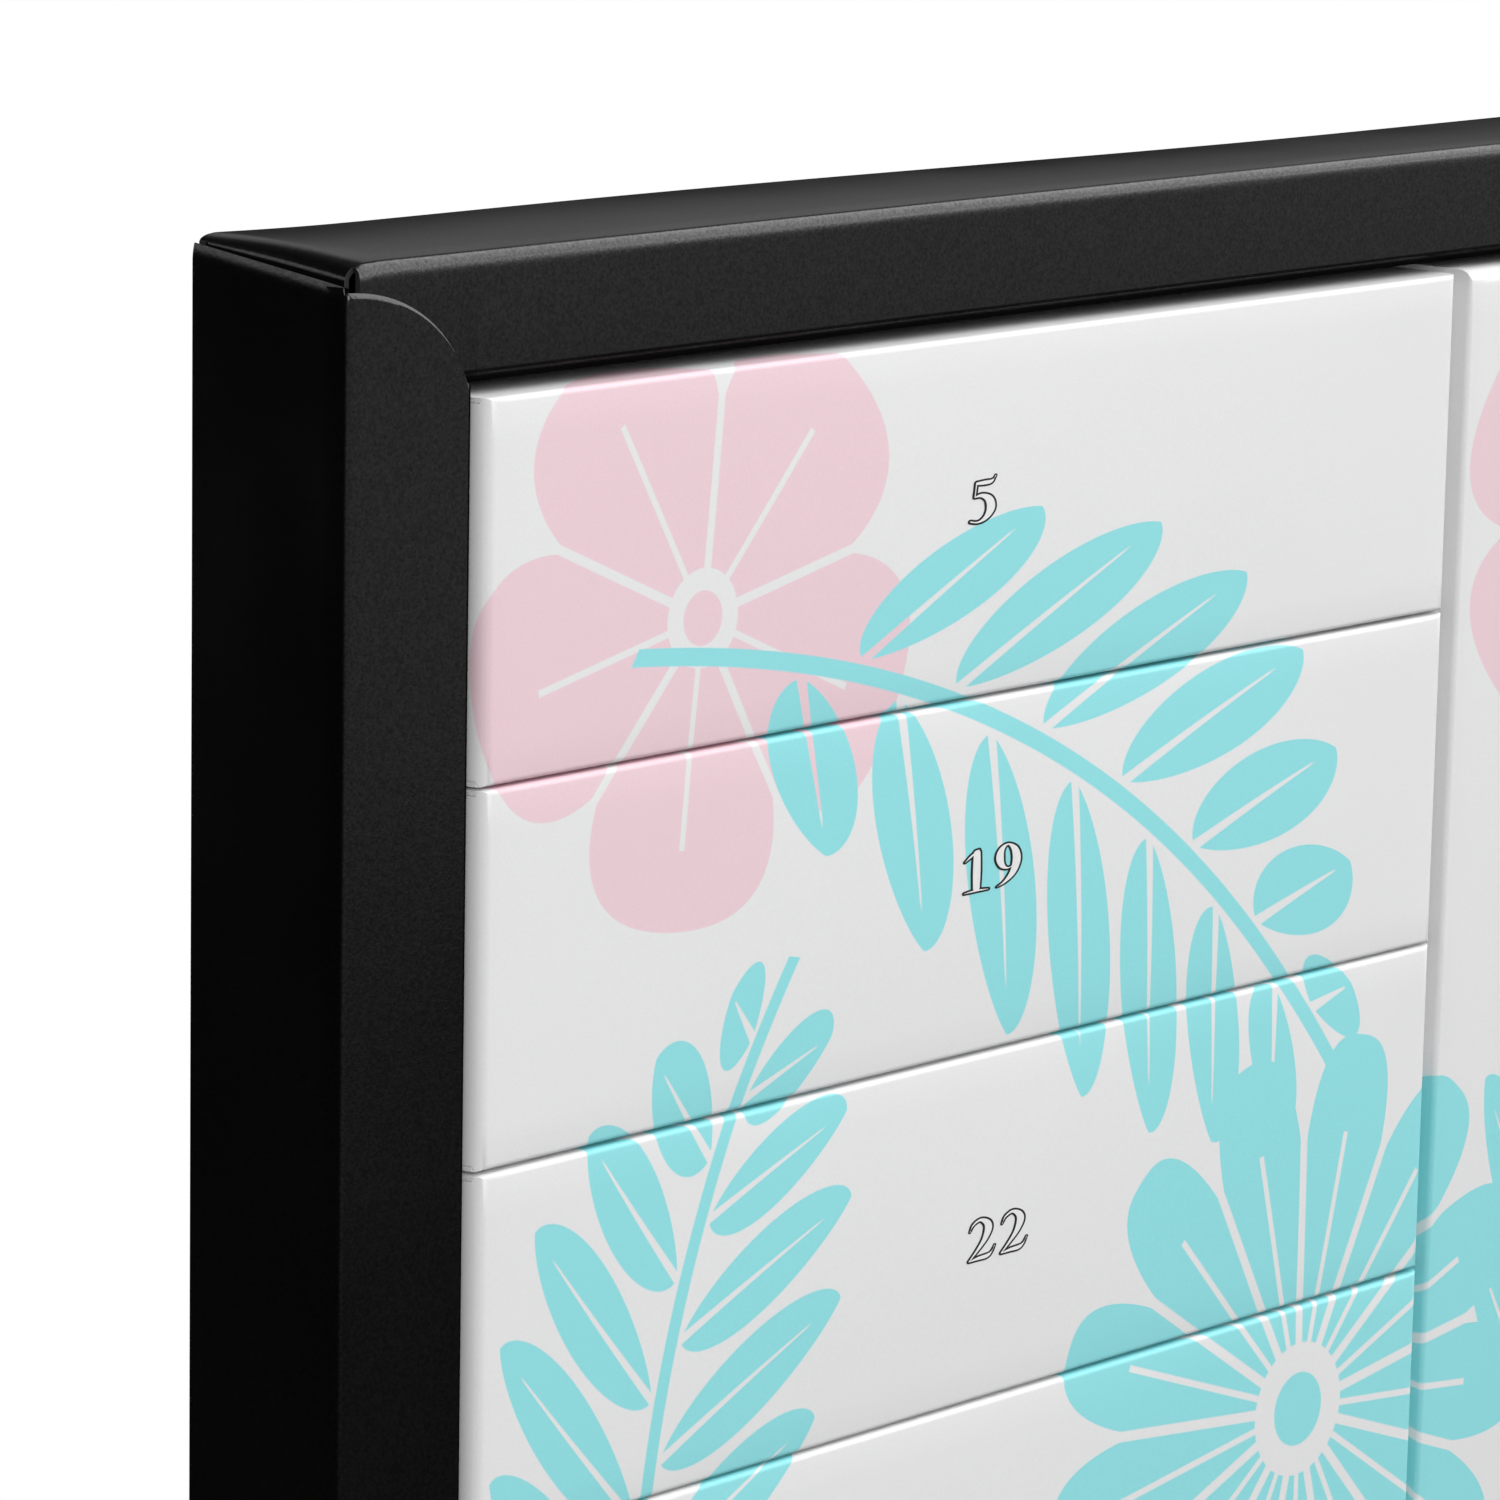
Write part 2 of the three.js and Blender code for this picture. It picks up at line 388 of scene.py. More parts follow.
def sprig_mask(u, v, soft):
    """1 on a sprig one unit long: a bent stem with paired leaflets, each with a bare midrib."""
    bend, bend_offset = 0.42, 0.06
    leaflet_pitch, slant = 0.125, 0.75
    longest, least_length, stem_gap = 0.235, 0.01, 0.012
    taper_rate, taper_start = 0.86, 0.17
    roundness, half_width, gap = 0.62, 0.47, 0.04
    rib_half_width, rib_end, rib_end_softness = 0.05, 0.82, 0.05
    first_leaflet, last_leaflet = 0.02, 0.9
    stem_half_width, stem_start, stem_end = 0.0085, 0.12, 0.97
    v = v - (u * (1 - u)) * bend + bend_offset
    off_stem = abs(v)
    side = v.math("GREATER_THAN", 0)
    row = (u - off_stem * slant) / leaflet_pitch + side * 0.5
    index = row.floor()
    across = row - index - 0.5
    base = (index + 0.5 - side * 0.5) * leaflet_pitch
    reach = ((base * taper_rate + taper_start) * math.pi).math("SINE") * longest
    along = (off_stem - stem_gap) / reach.math("MAXIMUM", least_length)
    profile = ((along * (1 - along)).math("MAXIMUM", 0) * 4) ** roundness * half_width - gap
    leaf = ((profile - abs(across)) * leaflet_pitch).inside(soft)
    rib = ((abs(across) - (1 - along) * rib_half_width) * leaflet_pitch).inside(soft)
    rib = rib.math("MAXIMUM", (along - rib_end).inside(rib_end_softness))
    on_stem = base.math("GREATER_THAN", first_leaflet) * base.math("LESS_THAN", last_leaflet)
    ends = (u + stem_start).inside(soft) * (stem_end - u).inside(soft)
    stem = (stem_half_width - off_stem).inside(soft) * ends
    return (leaf * rib * on_stem).math("MAXIMUM", stem)


def petal_mask(u, v, soft, petals, heart, gap, tip, vein):
    """1 on a round flower one unit across with that many petals, parted by bare gaps."""
    petal_end, petal_rounding, vein_end, dot_share = 0.5, 0.17, 0.37, 0.55
    radius = (u * u + v * v).math("SQRT")
    angle = v.math("ARCTAN2", u)
    turn = angle * (petals / (2 * math.pi))
    across = turn - turn.floor() - 0.5
    width = radius * (2 * math.pi / petals)
    edge = petal_end - ((abs(across) * 2) ** tip) * petal_rounding
    petal = (edge - radius).inside(soft) * ((0.5 - abs(across)) * width - gap).inside(soft)
    ring = (radius - heart).inside(soft)
    line = (abs(across) * width - vein).inside(soft).math("MAXIMUM", (radius - vein_end).inside(soft))
    dot = (heart * dot_share - radius).inside(soft)
    return (petal * ring * line).math("MAXIMUM", dot)


def motif_group(name, draw):
    """A node group that draws one motif, placed, turned and sized."""
    group = bpy.data.node_groups.new(name, "ShaderNodeTree")
    group.interface.new_socket("Place", in_out="INPUT", socket_type="NodeSocketVector")
    for socket_name in ("X", "Z", "Turn", "Size"):
        group.interface.new_socket(socket_name, in_out="INPUT", socket_type="NodeSocketFloat")
    group.interface.new_socket("Mask", in_out="OUTPUT", socket_type="NodeSocketFloat")
    given = group.nodes.new("NodeGroupInput").outputs
    parts = add_node(group, "ShaderNodeSeparateXYZ", Vector=given["Place"]).outputs
    size = Value(group, given["Size"])
    dx = (Value(group, parts["X"]) - Value(group, given["X"])) / size
    dz = (Value(group, parts["Z"]) - Value(group, given["Z"])) / size
    cosine = Value(group, given["Turn"]).math("COSINE")
    sine = Value(group, given["Turn"]).math("SINE")
    u = dx * cosine + dz * sine
    v = dz * cosine - dx * sine
    mask = draw(u, v, PRINT_SOFTNESS / size)
    feed(group, group.nodes.new("NodeGroupOutput").inputs["Mask"], mask)
    return group


def centred_sprig(u, v, soft):
    """A sprig whose middle stands at the motif's place."""
    return sprig_mask(u + 0.5, v, soft)


def daisy(u, v, soft):
    """A flower with many narrow petals."""
    return petal_mask(u, v, soft, petals=13, heart=0.09, gap=0.007, tip=3, vein=0.0045)


def blossom(u, v, soft):
    """A flower with five broad petals."""
    return petal_mask(u, v, soft, petals=5, heart=0.08, gap=0.008, tip=4, vein=0.006)


motif_groups = {
    "sprig": motif_group("sprig", centred_sprig),
    "daisy": motif_group("daisy", daisy),
    "blossom": motif_group("blossom", blossom),
}

# Motifs: kind, colour, x from the middle, z from the base, turn and size, in millimetres and degrees.
MOTIFS = [
    ("blossom", PINK, -196, 288, 12, 62),
    ("sprig", TURQUOISE, -136, 258, -32, 118),
    ("daisy", TURQUOISE, -98, 188, 8, 84),
    ("sprig", TURQUOISE, -196, 208, 78, 98),
    ("blossom", PINK, -48, 284, 40, 54),
    ("sprig", TURQUOISE, -38, 214, 62, 100),
    ("daisy", TURQUOISE, 22, 272, 20, 78),
    ("blossom", PINK, 24, 198, 30, 58),
    ("sprig", TURQUOISE, 92, 248, -58, 112),
    ("blossom", PINK, 140, 290, 5, 52),
    ("daisy", TURQUOISE, 158, 214, 0, 88),
    ("sprig", TURQUOISE, 206, 268, 58, 96),
    ("blossom", PINK, 98, 176, 55, 50),
    ("daisy", TURQUOISE, -188, 112, 15, 82),
    ("sprig", TURQUOISE, -124, 108, -72, 104),
    ("blossom", PINK, -150, 42, 22, 60),
    ("sprig", TURQUOISE, -84, 46, 28, 102),
    ("blossom", PINK, -70, 124, 65, 52),
    ("daisy", TURQUOISE, -14, 92, 10, 86),
    ("sprig", TURQUOISE, 46, 36, -12, 108),
    ("sprig", TURQUOISE, 56, 132, 38, 98),
    ("blossom", PINK, 96, 78, 18, 56),
    ("sprig", TURQUOISE, 138, 116, -64, 106),
    ("daisy", TURQUOISE, 184, 44, 25, 80),
    ("blossom", PINK, 206, 146, 48, 54),
    ("sprig", TURQUOISE, 214, 96, 82, 84),
    ("blossom", PINK, 126, 32, 33, 46),
]


def print_material(name, low, high):
    """White card with the stretch of the printed picture between two flat corners."""
    material, tree, output = new_material(name)
    place = add_node(tree, "ShaderNodeAttribute", {"attribute_name": "print_place"}).outputs["Vector"]
    colour = WHITE_PRINT
    for kind, tint, x, z, turn, size in MOTIFS:
        reach = size * MOTIF_REACH_SHARE * MM
        in_width = low[0] - reach < x * MM < high[0] + reach
        in_height = low[1] - reach < z * MM < high[1] + reach
        if not (in_width and in_height):
            continue
        motif = add_node(
            tree, "ShaderNodeGroup", {"node_tree": motif_groups[kind]}, Place=place,
            X=x * MM, Z=z * MM, Turn=math.radians(turn), Size=size * MM,
        )
        colour = mix_colour(tree, motif.outputs["Mask"], colour, tint)
    finish_card(tree, output, colour, roughness=0.46, specular=0.35, grain=0.3 * MM,
                depth=0.01 * MM, waviness=0.12 * MM, tone_range=0.02)
    return material


# Folded card.


# Material slots of a sheet's outer faces. The rim and the inside behind a face have the next two slots.
OUTSIDE_SLOT = 0
# Faces painted with the card's sheenless inside black: painted shade on the rails' hems and inner
# walls.
PAINTED_SHADE_SLOT = 3
RAW_SLOT = 6
# Faces whose cut edges get the sheenless inside black instead of the raw edge's grey: painted shade in
# the gaps round the side rails.
SHADED_RIM_SLOT = 9


def add_object(name, data):
    """Adds an object with its data to the scene."""
    item = bpy.data.objects.new(name, data)
    bpy.context.scene.collection.objects.link(item)
    return item


def thicken(piece, thickness):
    """Gives a face its thickness, away from the side that it looks to."""
    modifier = piece.modifiers.new("thickness", "SOLIDIFY")
    modifier.thickness = thickness
    modifier.offset = -1
    return modifier


class Sheet:
    """The outer face of a piece of folded card, gathered as grids of points."""

    def __init__(self):
        self.points = []
        self.places = []
        self.faces = []
        self.slots = []

    def add_grid(self, rows, slot_of=None):
        """Adds equally long rows of points; a point is a place in the frame and one in the print.

        slot_of(row, column) says which faces aren't of the plain outside.
        """
        start = len(self.points)
        length = len(rows[0])
        for row in rows:
            for point, place in row:
                self.points.append(point)
                self.places.append(place)
        for row in range(len(rows) - 1):
            for column in range(length - 1):
                corner = start + row * length + column
                self.slots.append(slot_of(row, column) if slot_of else OUTSIDE_SLOT)
                self.faces.append((corner, corner + 1, corner + length + 1, corner + length))

    def build(self, name, card, materials, looks_to):
        """Makes the sheet a piece of card of that thickness, its outer face towards looks_to.

        The materials are those of the card's outside, its inside and its edge. On the rails the
        inside's sheenless black is also painted on some outer faces and cut edges as painted shade.
        """
        outside, inside, edge = materials
        mesh = bpy.data.meshes.new(name)
        mesh.from_pydata(self.points, [], self.faces)
        attribute = mesh.attributes.new("print_place", "FLOAT_VECTOR", "POINT")
        for item, place in zip(attribute.data, self.places):
            item.vector = (place[0], 0, place[1])
        face_rim_inside = [
            (outside, edge, inside),
            (inside, inside, inside),
            (edge, outside, inside),
            (outside, inside, inside),
        ]
        for trio in face_rim_inside:
            for material in trio:
                mesh.materials.append(material)
        for polygon, slot in zip(mesh.polygons, self.slots):
            polygon.material_index = slot
        joined = bmesh.new()
        joined.from_mesh(mesh)
        bmesh.ops.remove_doubles(joined, verts=joined.verts, dist=MERGE_DISTANCE)
        bmesh.ops.recalc_face_normals(joined, faces=joined.faces)
        facing = max(joined.faces, key=lambda face: face.calc_center_median().dot(looks_to))
        if facing.normal.dot(looks_to) < 0:
            bmesh.ops.reverse_faces(joined, faces=joined.faces)
        joined.to_mesh(mesh)
        joined.free()
        piece = add_object(name, mesh)
        thick = thicken(piece, card)
        thick.use_even_offset = True
        thick.material_offset_rim = 1
        thick.material_offset = 2
        settle(piece)
        return piece


def settle(piece):
    """Applies a piece's modifiers and shades it smooth up to its sharp edges."""
    graph = bpy.context.evaluated_depsgraph_get()
    mesh = bpy.data.meshes.new_from_object(
        piece.evaluated_get(graph), preserve_all_data_layers=True, depsgraph=graph
    )
    piece.modifiers.clear()
    piece.data = mesh
    mesh.shade_smooth()
    mesh.set_sharp_from_angle(angle=SHARP_ANGLE)


def spread(low, high, steps):
    """Evenly spread values from low to high."""
    return [low + (high - low) * i / steps for i in range(steps + 1)]


def quarter_turns(steps):
    """The turns of a fold from flat to square, in radians, without the first."""
    return [math.pi / 2 * (i + 1) / steps for i in range(steps)]


# Rails.


def rail_profile(width, outer_depth, inner_depth, fold, hem):
    """The outer line of a rail round its two folds: (across, back, turn, region).

    The turn is the way that the card looks: 0 to the outer side and a quarter turn to the front.
    """
    line = [(0, back, 0, "outer") for back in spread(outer_depth, fold, OUTER_WALL_STEPS)]
    for turn in quarter_turns(FOLD_STEPS):
        line.append((fold - fold * math.cos(turn), fold - fold * math.sin(turn), turn, "fold"))
    for turn in quarter_turns(FRONT_STEPS)[:-1]:
        across = width * math.sin(turn)
        if fold < across < width - hem:
            crown = RAIL_CROWN * math.sin(math.pi * across / width)
            line.append((across, -crown, math.pi / 2, "front"))
    for turn in [0] + quarter_turns(FOLD_STEPS):
        across = width - hem + hem * math.sin(turn)
        line.append((across, hem - hem * math.cos(turn), math.pi / 2 + turn, "hem"))
    for back in spread(hem, inner_depth, INNER_WALL_STEPS)[1:]:
        line.append((width, back, math.pi, "inner"))
    return line


def ramp(value, low, high):
    """0 below low, 1 above high, and a straight rise between them."""
    return min(1, max(0, (value - low) / (high - low)))


def smooth_step(value, low, high):
    """0 below low, 1 above high, and a smooth rise between them."""
    share = ramp(value, low, high)
    return share * share * (3 - 2 * share)


def side_rail_drop(across, back, region, width, depth, end_rail_height, wall_drop_back):
    """How far inside the frame's upper or lower face a side rail ends, at a point of its profile."""
    seam = end_rail_height + LAYER_GAP
    if region == "outer":
        share = (back - SIDE_FOLD) / (depth - SIDE_FOLD)
        return WALL_DROP_FRONT + (wall_drop_back - WALL_DROP_FRONT) * share
    if region == "inner":
        return seam
    reach = (1 - min(1, across / width) ** FLAP_POWER) ** (1 / FLAP_POWER)
    return min(FLAP_TIP_DROP + FLAP_HEIGHT * (1 - reach), seam)


def build_side_rail(name, side, materials):
    """A left (-1) or right (1) rail, whose front ends are round and lie over the end rails."""
    low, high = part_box(name)
    top_low, top_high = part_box("top_rail")
    bottom_low, bottom_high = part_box("bottom_rail")
    _, panel_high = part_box("back_panel")
    width = high.x - low.x
    front = low.y + RAIL_CROWN
    depth = panel_high.y - front
    outer_x = low.x if side < 0 else high.x
    top_height = top_high.z - top_low.z
    bottom_height = bottom_high.z - bottom_low.z
    near_end = [step * MM for step in END_ROWS_MM]
    profile = rail_profile(width, depth, high.y - front, SIDE_FOLD, SIDE_HEM_FOLD)
    rows = []
    for across, back, turn, region in profile:
        point = (across, back, region, width, depth)
        lower = bottom_low.z + side_rail_drop(*point, bottom_height, WALL_DROP_BACK_BELOW)
        upper = top_high.z - side_rail_drop(*point, top_height, WALL_DROP_BACK_ABOVE)
        between = spread(lower + near_end[-1], upper - near_end[-1], SIDE_RAIL_STEPS)[1:-1]
        heights = [(lower + step, step) for step in near_end]
        heights += [(z, near_end[-1]) for z in between]
        heights += [(upper - step, step) for step in reversed(near_end)]
        row = []
        for z, to_end in heights:
            curl = WALL_CURL * max(0, 1 - to_end / WALL_CURL_REACH) ** 2 * max(0, math.cos(turn))
            bevel = RAW_BEVEL * (to_end == 0) * (region in ("fold", "front")) * math.sin(turn)
            place = [rate * at for rate, at in zip(WALL_WAVES_PER_METRE, (outer_x, back, z))]
            wave = WALL_WAVE * noise.noise(Vector(place)) * (region == "outer")
            wave *= smooth_step(back, SIDE_FOLD, SIDE_FOLD + WALL_WAVE_FADE)
            x = outer_x - side * (across + curl + wave)
            row.append((Vector((x, front + back + bevel, z)), (x, z)))
        rows.append(row)
    last = len(rows[0]) - 2

    def slot_of(row, column):
        """The flap's ends show a raw edge. The hem and the inner wall get the sheenless inside black as
        painted shade, and the other faces' cut edges are painted black as painted shade.
        """
        across, back, _, region = profile[row]
        drop = side_rail_drop(across, back, region, width, depth, bottom_height, 0)
        if region == "front" and drop < bottom_height and column in (0, last):
            return RAW_SLOT
        return PAINTED_SHADE_SLOT if region in ("hem", "inner") else SHADED_RIM_SLOT

    sheet = Sheet()
    sheet.add_grid(rows, slot_of)
    return sheet.build(name + "_card", RAIL_CARD, materials, Vector((0, -1, 0)))


def top_rise(x, share):
    """How far the calendar's top stands over its flat place, at a share of the way to the back."""
    inward = cad_bounds[1][0] - abs(x)
    lift = TOP_LIFT * (1 - smooth_step(inward, *TOP_LIFT_FADE)) - TOP_SAG
    lift += CORNER_LIFT * max(0, 1 - inward / CORNER_LIFT_REACH) ** 2
    return TOP_BULGE * 4 * share * (1 - share) + lift * share


def corner_press(to_end, share):
    """How far an end rail's outer wall is pressed down near its ends, at a share of the way back.

    The press rounds the wall's end, and a slight dip leads to it from further in at the front.
    """
    reach = PRESS_REACH_FRONT + (PRESS_REACH_BACK - PRESS_REACH_FRONT) * share
    drop = PRESS_DROP_FRONT + (PRESS_DROP_BACK - PRESS_DROP_FRONT) * share
    drop += PRESS_DROP_BETWEEN * 4 * share * (1 - share)
    along = max(0, 1 - to_end / reach)
    dip = DIP_DROP * max(0, 1 - to_end / DIP_REACH) ** 2 * (1 - share) ** 2
    return drop * (1 - math.sqrt(1 - along ** 2)) + dip


def both_ways(half):
    """Values from 0 outwards, mirrored about 0."""
    return [-x for x in reversed(half[1:])] + half


def build_end_rail(name, side, materials):
    """A top (1) or bottom (-1) rail, whose outer wall ends in tabs folded down in the corners."""
    low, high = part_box(name)
    _, left_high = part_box("left_rail")
    _, panel_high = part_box("back_panel")
    height = high.z - low.z
    front = low.y + RAIL_CROWN
    depth = panel_high.y - front
    outer_z = high.z if side > 0 else low.z
    crease = -left_high.x - CREASE_INSET
    tab_x = high.x - TAB_TUCK
    front_x = high.x - FRONT_TUCK
    growth = (TAB_TUCK - TAB_TUCK_BACK) / tab_x
    profile = rail_profile(height, depth, high.y - front, RAIL_FOLD, RAIL_FOLD)
    outer = [point for point in profile if point[3] == "outer"]
    rest = profile[len(outer) - 1:]
    inner_end, *crease_columns, outer_start = [crease + step * MM for step in CREASE_STEPS_MM]
    columns = spread(0, inner_end, END_RAIL_STEPS) + crease_columns
    columns += spread(outer_start, front_x, END_PANEL_STEPS)
    corner = [front_x + (tab_x - front_x) * math.sin(turn) for turn in quarter_turns(FOLD_STEPS)]

    def point_at(x, across, back, region):
        """A point of the rail's outer face, and the same point flat."""
        share = back / depth
        rise = (top_rise(x, share) if side > 0 else 0) - corner_press(tab_x - abs(x), share)
        x *= 1 + growth * share * smooth_step(abs(x), crease, tab_x)
        fade = 1 if region == "outer" else max(0, 1 - across / PRESS_FADE)
        under = ramp(across / height, LAYER_STEP_START_SHARE, LAYER_STEP_END_SHARE)
        step = LAYER_STEP * under * (region in ("front", "hem")) * (abs(x) > crease)
        z = outer_z - side * (across - rise * fade)
        return Vector((x, front + back + step, z)), (x, z)

    def rows_of(line, half):
        """Rows of points along a part of the profile."""
        return [
            [point_at(x, across, back, region) for x in both_ways(half)]
            for across, back, _, region in line
        ]

    def slot_of(row, _):
        """Beyond the hem's bend the card gets the sheenless inside black as painted shade under the
        rail.
        """
        return PAINTED_SHADE_SLOT if rest[row][2] > HEM_SHADE_TURN else OUTSIDE_SLOT

    sheet = Sheet()
    sheet.add_grid(rows_of(outer, columns + corner))
    sheet.add_grid(rows_of(rest, columns), slot_of)
    for end in (-1, 1):
        rows = []
        for across, back, _, region in outer:
            fold_end, _ = point_at(end * tab_x, across, back, region)
            drops = spread(outer_z - fold_end.z, side * TAB_LENGTH, TAB_STEPS)
            levels = [outer_z - drop for drop in drops]
            rows.append([(Vector((fold_end.x, fold_end.y, z)), (end * tab_x, z)) for z in levels])
        sheet.add_grid(rows)
    return sheet.build(name + "_card", RAIL_CARD, materials, Vector((0, -1, 0)))


def build_back_board(materials):
    """The closed back: a board between the rails' walls, whose upper edge follows the top."""
    low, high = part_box("back_panel")
    inset = RAIL_CARD + LAYER_GAP
    half = high.x - inset
    foot = low.z + inset
    rows = []
    for share in spread(0, 1, BOARD_STEPS_UP):
        row = []
        for x in spread(-half, half, BOARD_STEPS_ALONG):
            head = high.z - inset + top_rise(x, 1)
            bow = BOARD_BOW * math.sin(math.pi * share) * math.cos(math.pi / 2 * x / half)
            z = foot + (head - foot) * share
            row.append((Vector((x, high.y - BOARD_RECESS - bow, z)), (x, z)))
        rows.append(row)
    sheet = Sheet()
    sheet.add_grid(rows)
    return sheet.build("back_board", BOARD - BOARD_RECESS, materials, Vector((0, 1, 0)))


# Boxes.


def fold_depths(folds, depth):
    """The depths at which the walls have points, closer together in each of the folds."""
    turns = [0] + quarter_turns(FOLD_STEPS)
    in_folds = {fold * (1 - math.cos(turn)) for fold in folds for turn in turns}
    return sorted(in_folds) + spread(max(folds), depth, CASE_WALL_STEPS)[1:]


def fold_offset(fold, back):
    """How far a fold stands out of the flat front's edge, at a depth behind the front."""
    return math.sqrt(fold ** 2 - max(0, fold - back) ** 2)


def fold_spent(fold, back):
    """The length of card from the front's edge over its fold to a depth behind the front."""
    return fold * math.acos(max(0, 1 - back / fold)) + max(0, back - fold)


def box_sheet(length, width, depth, card, end_fold, side_fold, crown, put, flat):
    """The outer face of a card box with one open side, as a Sheet.

    The side walls reach over the end walls' ends. put(u, v, back) gives a point in the frame, and
    flat(u, v) the place in the print.
    """
    half_u = length / 2 - end_fold
    half_v = width / 2 - side_fold
    sheet = Sheet()
    us = spread(-half_u, half_u, FACE_STEPS_ALONG)
    vs = spread(-half_v, half_v, FACE_STEPS_ACROSS)
    depths = fold_depths((end_fold, side_fold), depth - crown)

    def bulge(u, v):
        """How far the front falls back from its middle."""
        return crown * (1 - (1 - (u / half_u) ** 2) * (1 - (v / half_v) ** 2))

    sheet.add_grid([[(put(u, v, bulge(u, v)), flat(u, v)) for u in us] for v in vs])
    for side in (-1, 1):
        rows = []
        for back in depths:
            out = side * (half_v + fold_offset(side_fold, back))
            place = side * (half_v + fold_spent(side_fold, back))
            stretch = 1 + fold_offset(end_fold, back) / half_u
            rows.append([(put(u * stretch, out, crown + back), flat(u * stretch, place)) for u in us])
        sheet.add_grid(rows)
        rows = []
        for back in depths:
            out = side * (half_u + fold_offset(end_fold, back))
            place = side * (half_u + fold_spent(end_fold, back))
            in_fold = back <= side_fold
            reach = fold_offset(side_fold, back) if in_fold else side_fold - card - CORNER_GAP
            stretch = 1 + reach / half_v
            rows.append([(put(out, v * stretch, crown + back), flat(place, v * stretch)) for v in vs])
        sheet.add_grid(rows)
    return sheet


def turned(point, centre, lean):
    """A point turned in the front's plane about a centre."""
    dx = point.x - centre.x
    dz = point.z - centre.z
    return Vector((
        centre.x + dx * math.cos(lean) + dz * math.sin(lean),
        point.y,
        centre.z + dz * math.cos(lean) - dx * math.sin(lean),
    ))


def build_case(name, node, lean, card, folds, growth, crown, opens_back, materials):
    """A lid or a tray in a node's place, as folded card."""
    low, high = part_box(node)
    centre = (low + high) / 2
    across, up = high.x - low.x, high.z - low.z
    upright = up > across
    length, width = (up, across) if upright else (across, up)
    length += 2 * growth
    depth = high.y - low.y - (0 if opens_back else TRAY_SHORT)

    def put(u, v, back):
        """The point of the box at a place on its closed side and a depth behind it."""
        x, z = (v, u) if upright else (u, v)
        y = low.y + back if opens_back else high.y - back
        return turned(Vector((centre.x + x, y, centre.z + z)), centre, lean)

    def flat(u, v):
        """The same place in the print."""
        x, z = (v, u) if upright else (u, v)
        return (centre.x + x, centre.z + z)

    sheet = box_sheet(length, width, depth, card, *folds, crown, put, flat)
    return sheet.build(name, card, materials, Vector((0, -1 if opens_back else 1, 0)))


# Numbers.

